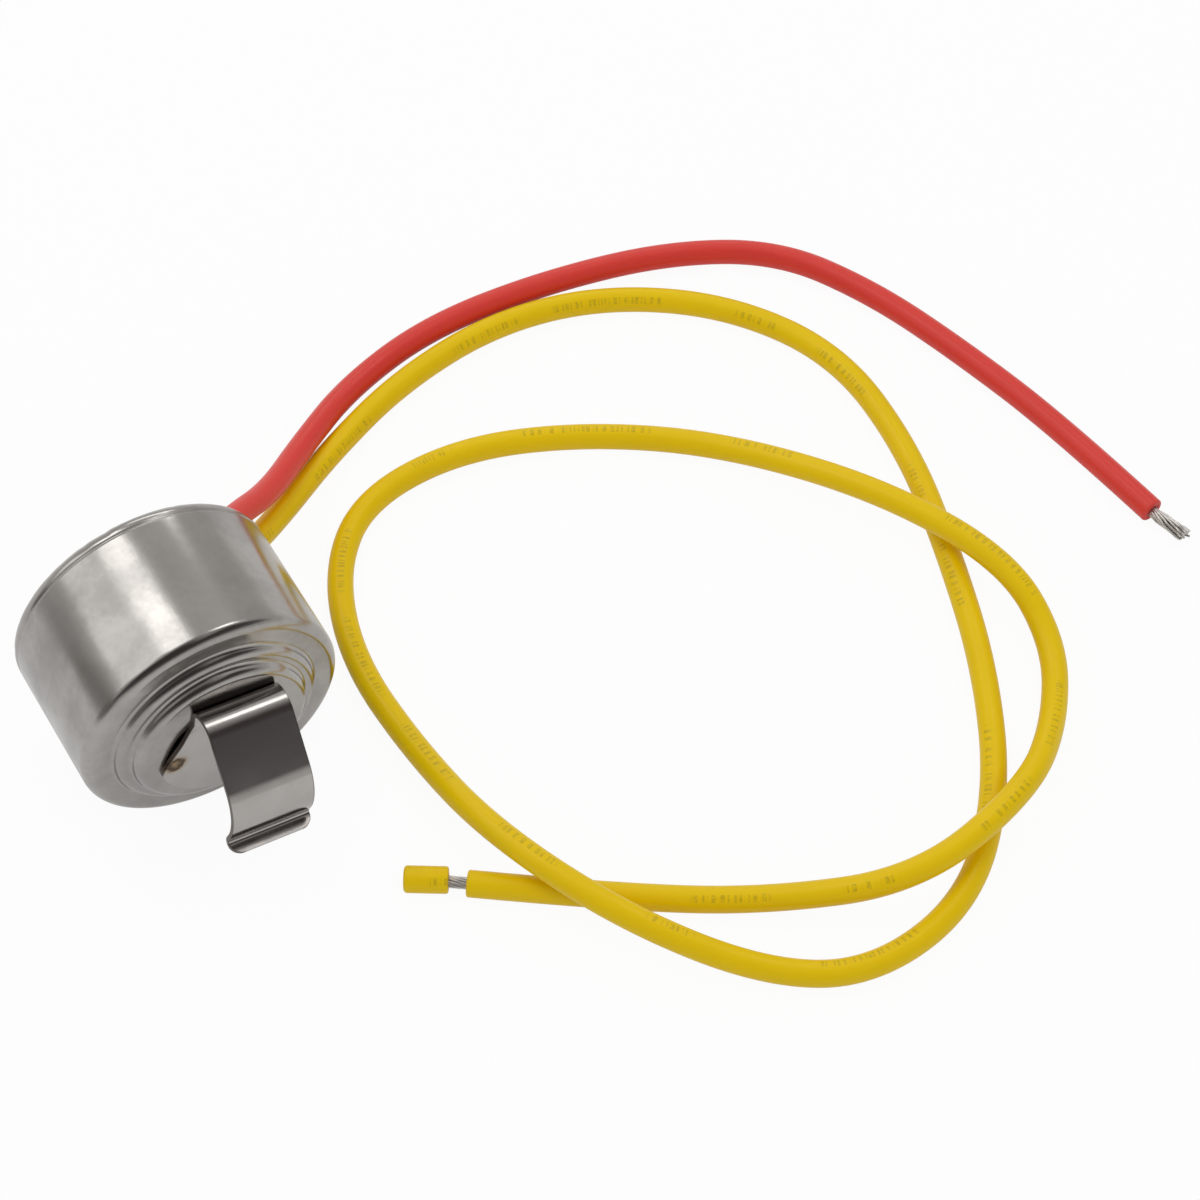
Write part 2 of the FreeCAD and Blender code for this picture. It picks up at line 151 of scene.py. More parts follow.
class CanSettings(bpy.types.PropertyGroup):
    """Sizes and colour of the drawn can, its rolled rim and the resin inside it"""

    length: length_property("Length", "From the sensing face's shoulder to the back rim", 17.0)
    sheet: length_property("Sheet", "Thickness of the drawn sheet", 0.4)
    shoulder_bend: length_property("Shoulder bend", "Outer radius at the sensing face's edge", 1.15)
    rim_bend: length_property("Rim bend", "Outer radius where the back rim rolls in", 1.3)
    rim_mouth: length_property("Rim mouth", "Radius of the opening inside the rolled rim", 11.9)
    ledge_radius: length_property("Ledge radius", "Outer radius of the lower step", 10.8)
    ledge_height: length_property("Ledge height", "Height of the lower step", 0.95)
    middle_radius: length_property("Middle radius", "Outer radius of the raised middle", 9.3)
    middle_height: length_property("Middle height", "Height of the raised middle", 2.1)
    step_bend: length_property("Step bend", "Outer bend radius of both steps", 0.85)
    rim_groove: length_property("Rim groove", "Depth of the fine groove in front of the rim", 0.10)
    wrinkle: length_property("Rim wrinkle", "Depth of the small wrinkles in the rolled rim", 0.16)
    segments: bpy.props.IntProperty(
        name="Segments", description="Divisions around the can", default=288, min=24
    )
    colour: colour_property("Steel", "Colour of the drawn stainless sheet", (0.43, 0.412, 0.392))
    resin_colour: colour_property("Resin", "Colour of the cast resin", (0.030, 0.030, 0.034))


class ClipSettings(bpy.types.PropertyGroup):
    """Sizes and colour of the spring tube clip"""

    sheet: length_property("Sheet", "Thickness of the spring strip", 0.45)
    width: length_property("Width", "Width of the spring tongue", 9.0)
    plate_radius: length_property("Plate radius", "Radius of the round base plate", 8.0)
    ear_drop: length_property("Ear drop", "How far below the axis the plate's ears lie", 2.6)
    neck_height: length_property("Neck height", "Height at which the plate becomes the tongue", 4.1)
    bend_height: length_property("Bend height", "Height of the tongue's first bend", 5.8)
    neck_lift: length_property("Neck lift", "How far the ears' edges stand off the face", 0.32)
    ear_bulge: length_property("Ear bulge", "Bulge of the edges between the ears and neck", 0.35)
    top_height: length_property("Top height", "Height of the tongue's top bend", 7.4)
    top_reach: length_property("Top reach", "Reach of the top bend beyond the plate", 2.0)
    top_bend: length_property("Top bend radius", "Middle radius of the tongue's top bend", 2.45)
    lip_corner: length_property("Lip corner", "Radius of the lip's corners", 1.25)
    arch_height: length_property("Arch height", "Height of the arch's upper corner", 0.6)
    arch_reach: length_property("Arch reach", "Reach of the arch beyond the plate", 9.15)
    brow_drop: length_property("Brow drop", "Drop below the axis at which the arch turns back", 2.7)
    crease_drop: length_property("Crease drop", "Drop below the axis of the lip's crease", 5.0)
    crease_reach: length_property("Crease reach", "How far the crease lies inside the arch", 0.8)
    lip: length_property("Lip", "Length of the flared lip", 1.7)
    lip_droop: length_property("Lip droop", "How far the lip drops along its length", 0.35)
    edge_round: length_property("Edge rounding", "Rounding of the sheared edges", 0.07)
    turn: angle_property("Turn", "Turn of the clip about the can's axis", 10.0)
    shift: length_property("Shift", "Sideways offset from the can's axis", 0.8)
    colour: colour_property("Spring steel", "Colour of the bright strip", (0.46, 0.435, 0.415))
    tint: colour_property("Weld tint", "Heat tint around the two weld spots", (0.36, 0.22, 0.07))


class LeadSettings(bpy.types.PropertyGroup):
    """Sizes and colours of the two leads"""

    diameter: length_property("Insulation diameter", "Diameter over the insulation", 2.8)
    strand_bundle: length_property("Conductor diameter", "Diameter over the strands", 1.25)
    strand_wire: length_property("Strand diameter", "Diameter of one strand", 0.25)
    yellow_gap: length_property("Strip gap", "Bare stretch before the yellow slug", 2.0)
    slug: length_property("Slug length", "Length of the loose yellow slug", 4.7)
    slug_turn: angle_property("Slug turn", "How far the slug lies turned on its conductor", 4.5)
    red_bare: length_property("Bare length", "Bare length at the red end", 5.0)
    cut_round: length_property("Cut rounding", "Rounding at the cut ends of the insulation", 0.26)
    yellow: colour_property("Yellow", "Colour of the yellow insulation", (0.86, 0.585, 0.0))
    red: colour_property("Red", "Colour of the red insulation", (0.75, 0.050, 0.036))
    mark: colour_property("Marks", "Colour of the faint marks on the yellow lead", (0.30, 0.22, 0.02))
    tin: colour_property("Tin", "Colour of the tinned strands", (0.72, 0.695, 0.66))


class StageSettings(bpy.types.PropertyGroup):
    """The camera, floor and lights"""

    azimuth: angle_property("Azimuth", "Camera angle round the object", -30.456)
    elevation: angle_property("Elevation", "Camera angle above the floor", 57.353)
    distance: length_property("Distance", "From the camera to the point it looks at", 356.1)
    aim_x: length_property("Aim X", "Point on the floor that the camera looks at", 44.89)
    aim_y: length_property("Aim Y", "Point on the floor, counted from the sensing face", 0.486)
    lens: bpy.props.FloatProperty(
        name="Lens", description="Focal length on a 36 mm sensor", default=100.0, unit="CAMERA"
    )
    floor: colour_property("Floor", "Colour of the floor", (0.93, 0.93, 0.93))


# Small helpers


def face_y(settings):
    """Depth of the sensing face's shoulder plane."""
    return CAN_BACK - settings.length


def new_object(name, data, material=None):
    made = bpy.data.objects.new(name, data)
    bpy.context.scene.collection.objects.link(made)
    if material is not None:
        data.materials.append(material)
    return made


def mesh_from(name, vertices, faces, material):
    """A smooth-shaded mesh object."""
    mesh = bpy.data.meshes.new(name)
    mesh.from_pydata(vertices, [], faces)
    mesh.update()
    mesh.polygons.foreach_set("use_smooth", [True] * len(mesh.polygons))
    return new_object(name, mesh, material)


def outward(made):
    """Merges doubles and makes the faces point outwards."""
    work = bmesh.new()
    work.from_mesh(made.data)
    bmesh.ops.remove_doubles(work, verts=work.verts, dist=1e-7)
    bmesh.ops.recalc_face_normals(work, faces=work.faces)
    work.to_mesh(made.data)
    work.free()
    made.data.update()
    return made


def frozen(made):
    """The object with its modifiers turned into a plain mesh."""
    graph = bpy.context.evaluated_depsgraph_get()
    graph.update()
    plain = bpy.data.meshes.new_from_object(made.evaluated_get(graph), depsgraph=graph)
    made.modifiers.clear()
    made.data = plain
    plain.name = made.name
    return made


def rounded_line(points, radii, step):
    """A flat line from point to point, with tangent arcs at its inner points."""
    points = [Vector(point) for point in points]
    line = [points[0]]
    for before, corner, after, radius in zip(points, points[1:], points[2:], radii):
        way_in = (corner - before).normalized()
        way_out = (after - corner).normalized()
        turn = way_in.angle(way_out)
        reach = radius * math.tan(turn / 2)
        start = corner - way_in * reach
        side = Vector((-way_in.y, way_in.x))
        if side.dot(way_out) < 0:
            side = -side
        centre = start + side * radius
        count = max(3, math.ceil(turn / step))
        for index in range(count + 1):
            angle = turn * index / count
            line.append(centre + way_in * (radius * math.sin(angle)) - side * (radius * math.cos(angle)))
    line.append(points[-1])
    return line


# Node helpers


def add_node(tree, kind, **values):
    """A node with attributes set by name and input sockets set by index or name."""
    node = tree.nodes.new(kind)
    for key, value in values.items():
        if key == "inputs":
            for socket, given in value.items():
                if isinstance(given, bpy.types.NodeSocket):
                    tree.links.new(given, node.inputs[socket])
                else:
                    node.inputs[socket].default_value = given
        else:
            setattr(node, key, value)
    return node


def math_node(tree, operation, first, second=0.0):
    """The result of a math node; each value is a number or a socket."""
    return add_node(tree, "ShaderNodeMath", operation=operation, inputs={0: first, 1: second}).outputs[0]


def plus(tree, first, second):
    return math_node(tree, "ADD", first, second)


def minus(tree, first, second):
    return math_node(tree, "SUBTRACT", first, second)


def times(tree, first, second):
    return math_node(tree, "MULTIPLY", first, second)


def vector_node(tree, operation, inputs):
    """A vector math node's outputs."""
    return add_node(tree, "ShaderNodeVectorMath", operation=operation, inputs=inputs).outputs


def joined(tree, x, y, z):
    """A vector from three values."""
    return add_node(tree, "ShaderNodeCombineXYZ", inputs={0: x, 1: y, 2: z}).outputs[0]


def parted(tree, vector):
    """A vector's three values."""
    return add_node(tree, "ShaderNodeSeparateXYZ", inputs={0: vector}).outputs


def ramp(tree, value, stops, smooth=False):
    """A colour ramp from a value; each stop is a place and a grey or a colour."""
    node = add_node(tree, "ShaderNodeValToRGB", inputs={0: value})
    if smooth:
        node.color_ramp.interpolation = "EASE"
    elements = node.color_ramp.elements
    while len(elements) < len(stops):
        elements.new(0.5)
    for element, (place, shade) in zip(elements, stops):
        element.position = place
        colour = (shade, shade, shade) if isinstance(shade, (int, float)) else shade
        element.color = (*colour, 1.0)
    return node.outputs[0]


def mix_colour(tree, amount, first, second, blend="MIX"):
    """Two colours mixed by an amount; each of them is a socket or plain values."""
    node = add_node(tree, "ShaderNodeMix", data_type="RGBA", blend_type=blend)
    for socket, given in (("Factor_Float", amount), ("A_Color", first), ("B_Color", second)):
        target = next(found for found in node.inputs if found.identifier == socket)
        if isinstance(given, bpy.types.NodeSocket):
            tree.links.new(given, target)
        elif isinstance(given, (int, float)):
            target.default_value = given
        else:
            target.default_value = rgba(given)
    return next(found for found in node.outputs if found.identifier == "Result_Color")


def surface_place(tree):
    """The shaded point in the object's own coordinates."""
    return add_node(tree, "ShaderNodeTexCoord").outputs["Object"]


def wrapped_place(tree):
    """The shaded point's two coordinates in the piece's UV map."""
    return parted(tree, add_node(tree, "ShaderNodeUVMap").outputs[0])


def noise(tree, vector, scale, detail=3.0, rough=0.55, distortion=0.0):
    return add_node(tree, "ShaderNodeTexNoise", inputs={
        "Vector": vector, "Scale": scale, "Detail": detail, "Roughness": rough, "Distortion": distortion,
    }).outputs[0]


def bump(tree, height, **normal):
    """A normal from a height in metres, on top of the plain or a given normal."""
    inputs = {"Strength": 1.0, "Distance": 1.0, "Height": height, **normal}
    return add_node(tree, "ShaderNodeBump", inputs=inputs).outputs[0]


def new_group(name, kind, inputs, outputs):
    """A node group and its open sockets; inputs and outputs hold each socket's kind by title."""
    group = bpy.data.node_groups.new(name, f"{kind}NodeTree")
    for way, sockets in (("INPUT", inputs), ("OUTPUT", outputs)):
        for title, socket in sockets.items():
            group.interface.new_socket(title, in_out=way, socket_type=f"NodeSocket{socket}")
    return group, group.nodes.new("NodeGroupInput").outputs, group.nodes.new("NodeGroupOutput").inputs


def shared(name, maker):
    """A node group that is built once."""
    return bpy.data.node_groups.get(name) or maker(name)


def place_group(tree, name, maker, inputs):
    """The outputs of a shared shader node group."""
    return add_node(tree, "ShaderNodeGroup", node_tree=shared(name, maker), inputs=inputs).outputs


def mottle_group(name):
    """Cloudy handling marks on metal: a colour with soft blotches and a roughness that follows them."""
    group, given, out = new_group(
        name, "Shader",
        {"Vector": "Vector", "Colour": "Color", "Blotch size": "Float", "Strength": "Float",
         "Base roughness": "Float", "Roughness spread": "Float"},
        {"Colour": "Color", "Roughness": "Float"},
    )
    broad = noise(group, given["Vector"], given["Blotch size"], 3.0, 0.5, 0.2)
    fine = noise(group, given["Vector"], times(group, given["Blotch size"], 6.0), 3.0, 0.65)
    blend = plus(group, times(group, broad, 0.75), times(group, fine, 0.25))
    cloud = ramp(group, blend, [(0.28, 0.0), (0.72, 1.0)], smooth=True)
    shade = minus(group, 1.0, times(group, cloud, given["Strength"]))
    darker = vector_node(group, "SCALE", {0: given["Colour"], "Scale": shade})[0]
    group.links.new(darker, out["Colour"])
    spread = times(group, cloud, given["Roughness spread"])
    group.links.new(plus(group, given["Base roughness"], spread), out["Roughness"])
    return group


def grain_group(name):
    """Fine directional grain: a normal from noise that is stretched by the vector fed in."""
    group, given, out = new_group(
        name, "Shader",
        {"Vector": "Vector", "Scale": "Float", "Depth": "Float", "Soft dent": "Float",
         "Dent vector": "Vector"},
        {"Normal": "Vector"},
    )
    lines = noise(group, given["Vector"], given["Scale"], 4.0, 0.7)
    dents = noise(group, given["Dent vector"], 210.0, 1.5, 0.5)
    height = plus(group, times(group, lines, given["Depth"]), times(group, dents, given["Soft dent"]))
    group.links.new(bump(group, height), out["Normal"])
    return group


def skin_group(name):
    """Extruded plastic skin: slight colour drift, scuffs and a fine orange peel."""
    group, given, out = new_group(
        name, "Shader",
        {"Vector": "Vector", "Colour": "Color", "Drift": "Float", "Base roughness": "Float",
         "Peel depth": "Float"},
        {"Colour": "Color", "Roughness": "Float", "Normal": "Vector"},
    )
    broad = noise(group, given["Vector"], 120.0, 3.0, 0.6)
    scuff = noise(group, given["Vector"], 900.0, 4.0, 0.7)
    peel = noise(group, given["Vector"], 1800.0, 2.0, 0.5)
    shade = plus(group, 1.0, times(group, minus(group, broad, 0.5), given["Drift"]))
    tinted = vector_node(group, "SCALE", {0: given["Colour"], "Scale": shade})[0]
    group.links.new(tinted, out["Colour"])
    rough = plus(group, given["Base roughness"], times(group, minus(group, scuff, 0.5), 0.22))
    group.links.new(rough, out["Roughness"])
    group.links.new(bump(group, times(group, peel, given["Peel depth"])), out["Normal"])
    return group


def new_material(name, **constants):
    """A material with its Principled shader, whose plain values are set on its own sockets."""
    material = bpy.data.materials.new(name)
    material.use_nodes = True
    tree = material.node_tree
    shader = tree.nodes["Principled BSDF"]
    for title, value in constants.items():
        shader.inputs[title.replace("_", " ")].default_value = value
    return material, tree, shader.inputs


def rgba(colour):
    return (*colour, 1.0)


# Materials


def polar_vector(tree, stretch):
    """Coordinates about the can's axis: radius, turn and depth, each scaled."""
    across, depth, height = parted(tree, surface_place(tree))
    up = minus(tree, height, AXIS_HEIGHT)
    radius = math_node(tree, "SQRT", plus(tree, times(tree, across, across), times(tree, up, up)))
    turn = math_node(tree, "ARCTAN2", up, across)
    return joined(tree, *(times(tree, part, share) for part, share in zip((radius, turn, depth), stretch)))


def cloudy_metal(tree, shader, vector, colour, blotch, strength, roughness, spread):
    """Links cloudy metal to the shader's colour and roughness."""
    clouds = place_group(tree, "Cloudy metal", mottle_group, {
        "Vector": vector, "Colour": rgba(colour), "Blotch size": blotch, "Strength": strength,
        "Base roughness": roughness, "Roughness spread": spread,
    })
    tree.links.new(clouds["Colour"], shader["Base Color"])
    tree.links.new(clouds["Roughness"], shader["Roughness"])
    return clouds


def plain_metal(name, colour, roughness, strength=0.2):
    material, tree, shader = new_material(name, Metallic=1.0)
    cloudy_metal(tree, shader, surface_place(tree), colour, 700.0, strength, roughness, 0.15)
    return material


def extruded_skin(tree, shader, colour, drift, roughness, depth):
    """Links an extruded skin to the shader's colour, roughness and normal."""
    skin = place_group(tree, "Extruded skin", skin_group, {
        "Vector": surface_place(tree), "Colour": rgba(colour), "Drift": drift,
        "Base roughness": roughness, "Peel depth": depth,
    })
    for title, socket in (("Colour", "Base Color"), ("Roughness", "Roughness"), ("Normal", "Normal")):
        tree.links.new(skin[title], shader[socket])
    return skin


def plain_solid(name, colour, roughness, drift=0.3, depth=0.00003):
    material, tree, shader = new_material(name)
    extruded_skin(tree, shader, colour, drift, roughness, depth)
    return material


def cut_plastic(name, colour):
    """Freshly cut end of the insulation, duller than its skin."""
    return plain_solid(name, colour, 0.55, 0.25, 0.00004)


def can_steel(settings):
    """Drawn stainless: cloudy satin wall with faint draw lines along it and rings on the face."""
    material, tree, shader = new_material("Drawn stainless", Metallic=1.0)
    plain = surface_place(tree)
    cloudy_metal(tree, shader, plain, settings.colour, 190.0, 0.24, 0.15, 0.11)
    grain = place_group(tree, "Drawn grain", grain_group, {
        "Vector": polar_vector(tree, (1.0, 0.012, 0.05)), "Scale": 5200.0, "Depth": 0.0000035,
        "Soft dent": 0.00004, "Dent vector": plain,
    })
    tree.links.new(grain["Normal"], shader["Normal"])
    return material


def weld_masks(tree, settings, clip_settings):
    """Masks for the two weld spots: a wide heat tint and a burnt ring inside it."""
    place = surface_place(tree)
    ripple = times(tree, noise(tree, place, 1100.0, 4.0, 0.7), 0.0013)
    masks = []
    for spot in weld_spots(settings, clip_settings):
        gap = vector_node(tree, "DISTANCE", {0: place, 1: spot})["Value"]
        gap = times(tree, plus(tree, gap, ripple), 350.0)
        masks.append((
            ramp(tree, gap, [(0.45, 1.0), (0.85, 0.0)], smooth=True),
            ramp(tree, gap, [(0.30, 0.2), (0.40, 0.5), (0.50, 1.0), (0.64, 0.0)], smooth=True),
        ))
    return [math_node(tree, "MAXIMUM", *pair) for pair in zip(*masks)]


def sheared_edges_and_gap_shade(tree):
    """Mask of the strip's two long sheared edges from the ears up, from its UV map; it darkens them partly
    for their burred look and partly as painted shade of the dark gap beside the plate's lifted edge.
    """
    across, along, _ = wrapped_place(tree)
    away = math_node(tree, "ABSOLUTE", minus(tree, across, 0.5))
    side = ramp(tree, away, [(0.488, 0.0), (0.498, 1.0)])
    return times(tree, side, ramp(tree, along, [(0.22, 0.0), (0.28, 1.0)]))


def clip_steel(settings, clip_settings):
    """Bright rolled spring steel with fine rolling lines, heat tint at the welds, and dark sheared edges
    that are partly painted shade of the gap under the plate's lifted edge.
    """
    material, tree, shader = new_material("Bright spring steel", Metallic=1.0)
    plain = surface_place(tree)
    clouds = cloudy_metal(tree, shader, plain, clip_settings.colour, 260.0, 0.10, 0.13, 0.08)
    wide, core = weld_masks(tree, settings, clip_settings)
    tinted = mix_colour(tree, times(tree, wide, 0.75), clouds["Colour"], clip_settings.tint)
    burnt = mix_colour(tree, times(tree, core, 0.9), tinted, (0.045, 0.022, 0.010))
    # The edges' near-black colour is partly painted shade: it stands in for the dark gap where the plate's
    # edge stands off the face, on top of the sheared edges' own darker look.
    edge = times(tree, sheared_edges_and_gap_shade(tree), 0.85)
    tree.links.new(mix_colour(tree, edge, burnt, (0.085, 0.060, 0.050)), shader["Base Color"])
    dull = plus(tree, times(tree, wide, 0.25), times(tree, edge, 0.2))
    tree.links.new(plus(tree, clouds["Roughness"], dull), shader["Roughness"])
    grain = place_group(tree, "Drawn grain", grain_group, {
        "Vector": vector_node(tree, "MULTIPLY", {0: plain, 1: (1.0, 0.03, 0.03)})[0], "Scale": 5200.0,
        "Depth": 0.0000012, "Soft dent": 0.000012, "Dent vector": plain,
    })
    crater = bump(tree, times(tree, core, -0.00022), Normal=grain["Normal"])
    tree.links.new(crater, shader["Normal"])
    return material


def broken_marks(tree):
    """Mask of plain short ticks in a narrow band that winds slowly round the lead, from its UV map."""
    along, around, _ = wrapped_place(tree)
    middle = minus(tree, 0.38, times(tree, along, 0.25))
    band = math_node(tree, "LESS_THAN", math_node(tree, "ABSOLUTE", minus(tree, around, middle)), 0.045)
    ticks, groups = [
        add_node(tree, "ShaderNodeTexNoise", noise_dimensions="1D",
                 inputs={"W": along, "Scale": scale, "Detail": 0.0}).outputs[0]
        for scale in (1100.0, 34.0)
    ]
    wear = noise(tree, surface_place(tree), 3000.0, 3.0)
    ink = times(tree, ramp(tree, ticks, [(0.50, 0.0), (0.54, 1.0)]),
                ramp(tree, groups, [(0.50, 0.0), (0.52, 1.0)]))
    ink = times(tree, ink, ramp(tree, wear, [(0.38, 0.3), (0.58, 1.0)]))
    return times(tree, band, ink)


def insulation(name, colour, gloss, marks=None):
    """Extruded PVC; the yellow one carries faint broken marks along one side."""
    material, tree, shader = new_material(
        name, Specular_IOR_Level=gloss, Subsurface_Weight=0.05, Subsurface_Scale=0.001,
    )
    shader["Subsurface Radius"].default_value = (1.0, 0.5, 0.2)
    skin = extruded_skin(tree, shader, colour, 0.10, 0.34, 0.000012)
    if marks is not None:
        marked = mix_colour(tree, times(tree, broken_marks(tree), 0.42), skin["Colour"], marks)
        tree.links.new(marked, shader["Base Color"])
    return material


# Can


def can_profile(settings):
    """Closed outline of the can's sheet as radius and depth, outer skin first."""
    sheet = settings.sheet
    wall = CAN_RADIUS
    slant = 0.3 * MM
    groove_start, groove_floor, groove_end = (settings.length - back * MM for back in (1.75, 1.55, 1.3))
    rim = wall - 0.02 * MM
    outer = [
        (0.0, -settings.middle_height),
        (settings.middle_radius, -settings.middle_height),
        (settings.middle_radius + slant, -settings.ledge_height),
        (settings.ledge_radius, -settings.ledge_height),
        (settings.ledge_radius + slant, 0.0),
        (wall, 0.0),
        (wall, groove_start),
        (wall - settings.rim_groove, groove_floor),
        (rim, groove_end),
        (rim, settings.length),
        (settings.rim_mouth, settings.length),
    ]
    step = settings.step_bend
    hollow = step * 0.55
    groove_bends = [0.2 * MM, 0.15 * MM, 0.2 * MM]
    roll = settings.rim_bend * 0.9
    radii = [step, hollow, step, hollow, settings.shoulder_bend, *groove_bends, roll]
    inner = [
        (settings.rim_mouth, settings.length - sheet),
        (wall - sheet, settings.length - sheet),
        (wall - sheet, sheet),
        (settings.ledge_radius + slant - sheet, sheet),
        (settings.ledge_radius - sheet, sheet - settings.ledge_height),
        (settings.middle_radius + slant - sheet, sheet - settings.ledge_height),
        (settings.middle_radius - sheet, sheet - settings.middle_height),
        (0.0, sheet - settings.middle_height),
    ]
    inner_radii = [settings.rim_bend - sheet, settings.shoulder_bend - sheet, hollow, hollow, hollow, hollow]
    turn_step = math.radians(7.0)
    return rounded_line(outer, radii, turn_step) + rounded_line(inner, inner_radii, turn_step)


def turned_tree(name):
    """Geometry Nodes: turns a profile mesh about the Y axis into a skin, with a wrinkled rim."""
    tree, given, out = new_group(
        name, "Geometry",
        {"Profile": "Geometry", "Segments": "Int", "Centre height": "Float", "Wrinkle": "Float",
         "Rim start": "Float", "Seed": "Float", "Material": "Material"},
        {"Skin": "Geometry"},
    )
    profile = given["Profile"]
    count = add_node(tree, "GeometryNodeAttributeDomainSize", inputs={0: profile}).outputs["Point Count"]
    around = plus(tree, given["Segments"], 1)
    grid = add_node(tree, "GeometryNodeMeshGrid", inputs={
        "Size X": 1.0, "Size Y": 1.0, "Vertices X": count, "Vertices Y": around,
    }).outputs["Mesh"]
    index = add_node(tree, "GeometryNodeInputIndex").outputs[0]
    row = math_node(tree, "FLOOR", math_node(tree, "DIVIDE", plus(tree, index, 0.5), around))
    column = minus(tree, index, times(tree, row, around))
    turn = times(tree, math_node(tree, "DIVIDE", column, given["Segments"]), math.tau)
    place = add_node(tree, "GeometryNodeInputPosition").outputs[0]
    sample = add_node(tree, "GeometryNodeSampleIndex", data_type="FLOAT_VECTOR", domain="POINT")
    tree.links.new(profile, sample.inputs["Geometry"])
    tree.links.new(place, next(found for found in sample.inputs if found.name == "Value" and found.enabled))
    tree.links.new(row, sample.inputs["Index"])
    radius, depth, _ = parted(tree, sample.outputs[0])
    side = math_node(tree, "COSINE", turn)
    up = math_node(tree, "SINE", turn)
    broad = noise(tree, joined(tree, side, up, given["Seed"]), 5.5, 2.5, 0.6)
    wave = times(tree, minus(tree, broad, 0.5), 2.0)
    near_rim = add_node(tree, "ShaderNodeMapRange", interpolation_type="SMOOTHSTEP", inputs={
        0: depth, 1: given["Rim start"], 2: plus(tree, given["Rim start"], 0.0012)}).outputs[0]
    push = times(tree, times(tree, wave, near_rim), given["Wrinkle"])
    bent_radius = math_node(tree, "MAXIMUM", plus(tree, radius, times(tree, push, 0.5)), 0.0)
    bent_depth = minus(tree, depth, math_node(tree, "ABSOLUTE", push))
    height = plus(tree, times(tree, bent_radius, up), given["Centre height"])
    placed = add_node(tree, "GeometryNodeSetPosition", inputs={
        "Geometry": grid, "Position": joined(tree, times(tree, bent_radius, side), bent_depth, height)})
    merged = add_node(tree, "GeometryNodeMergeByDistance",
                      inputs={"Geometry": placed.outputs[0], "Distance": 0.0000005})
    finish_skin(tree, merged.outputs[0], given["Material"], out["Skin"])
    return tree


def finish_skin(tree, geometry, material, target):
    """Shades a skin smooth, makes it real, gives it its material and links it to the group's output."""
    smooth = add_node(tree, "GeometryNodeSetShadeSmooth", inputs={0: geometry})
    real = add_node(tree, "GeometryNodeRealizeInstances", inputs={0: smooth.outputs[0]})
    coloured = add_node(tree, "GeometryNodeSetMaterial", inputs={
        "Geometry": real.outputs[0], "Material": material})
    tree.links.new(coloured.outputs[0], target)


def grown_piece(name, mesh, tree, values):
    """An object that a Geometry Nodes group grows from a mesh, with the group's inputs set by title."""
    made = new_object(name, mesh)
    modifier = made.modifiers.new(tree.name, "NODES")
    modifier.node_group = tree
    for item in tree.interface.items_tree:
        if item.in_out == "INPUT" and item.name in values:
            modifier[item.identifier] = values[item.name]
    return frozen(made)


def turned_piece(name, profile, segments, material, wrinkle, rim_start):
    """A closed skin turned from a profile of radius and depth in the row frame."""
    mesh = bpy.data.meshes.new(name)
    edges = [(index, index + 1) for index in range(len(profile) - 1)]
    mesh.from_pydata([(radius, depth, 0.0) for radius, depth in profile], edges, [])
    return outward(grown_piece(name, mesh, shared("Turned skin", turned_tree), {
        "Segments": segments, "Centre height": AXIS_HEIGHT, "Wrinkle": wrinkle, "Rim start": rim_start,
        "Seed": 1.7, "Material": material,
    }))


class THERMOSTAT_OT_can(bpy.types.Operator):
    """Builds the drawn can with its stepped sensing face and rolled, slightly wrinkled rim"""

    bl_idname = "thermostat.can"
    bl_label = "Drawn can"

    def execute(self, context):
        settings = context.scene.thermostat_can
        depth = face_y(settings)
        profile = [(point.x, point.y + depth) for point in can_profile(settings)]
        can = turned_piece(
            "can_shell", profile, settings.segments, can_steel(settings),
            wrinkle=settings.wrinkle, rim_start=CAN_BACK - 1.6 * MM,
        )
        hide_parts("housing_can")
        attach(can, BODY)
        return {"FINISHED"}


# Clip


def clip_frame(settings, clip_settings):
    """Matrix from the clip's own frame (across, out, up) to the row frame."""
    base = Vector((clip_settings.shift, face_y(settings), AXIS_HEIGHT))
    return Matrix.Translation(base) @ Matrix.Rotation(clip_settings.turn, 4, "Y")


def weld_spots(settings, clip_settings):
    """Middles of the two weld spots on the plate, in the row frame."""
    plate = -settings.middle_height - clip_settings.sheet
    place = clip_frame(settings, clip_settings)
    return [place @ Vector((across * MM, plate, up * MM)) for across, up in ((-6.25, -1.25), (6.95, -1.5))]


def eased(share):
    """A smooth rise from 0 to 1."""
    share = min(max(share, 0.0), 1.0)
    return share * share * (3 - 2 * share)


def clip_half_width(clip_settings, along, end):
    """Half the width of the flat blank at a place along it; its end has rounded corners."""
    radius = clip_settings.plate_radius
    drop = clip_settings.ear_drop
    neck = clip_settings.width / 2
    if along <= -drop:
        return math.sqrt(max(radius**2 - along**2, 0.0))
    if along <= clip_settings.neck_height:
        ear = math.sqrt(radius**2 - drop**2)
        share = (along + drop) / (clip_settings.neck_height + drop)
        return ear + (neck - ear) * share + clip_settings.ear_bulge * 4 * share * (1 - share)
    corner = clip_settings.lip_corner
    over = along - (end - corner)
    if over > 0:
        return neck - corner + math.sqrt(max(corner**2 - over**2, 0.0))
    return neck


def clip_path(settings, clip_settings):
    """Middle line of the bent blank as height and reach, from the neck to the lip's end."""
    plate = settings.middle_height + clip_settings.sheet / 2
    arch = plate + clip_settings.arch_reach
    crease = arch - clip_settings.crease_reach
    points = [
        (clip_settings.neck_height, plate),
        (clip_settings.bend_height, plate),
        (clip_settings.top_height, plate + clip_settings.top_reach),
        (clip_settings.arch_height, arch),
        (-clip_settings.brow_drop, arch),
        (-clip_settings.crease_drop, crease),
        (-clip_settings.crease_drop - clip_settings.lip_droop, crease + clip_settings.lip),
    ]
    foot_bend, arch_bend, brow_bend, crease_bend = 0.8 * MM, 5.2 * MM, 5.0 * MM, 0.6 * MM
    radii = [foot_bend, clip_settings.top_bend, arch_bend, brow_bend, crease_bend]
    return rounded_line(points, radii, math.radians(6.0))


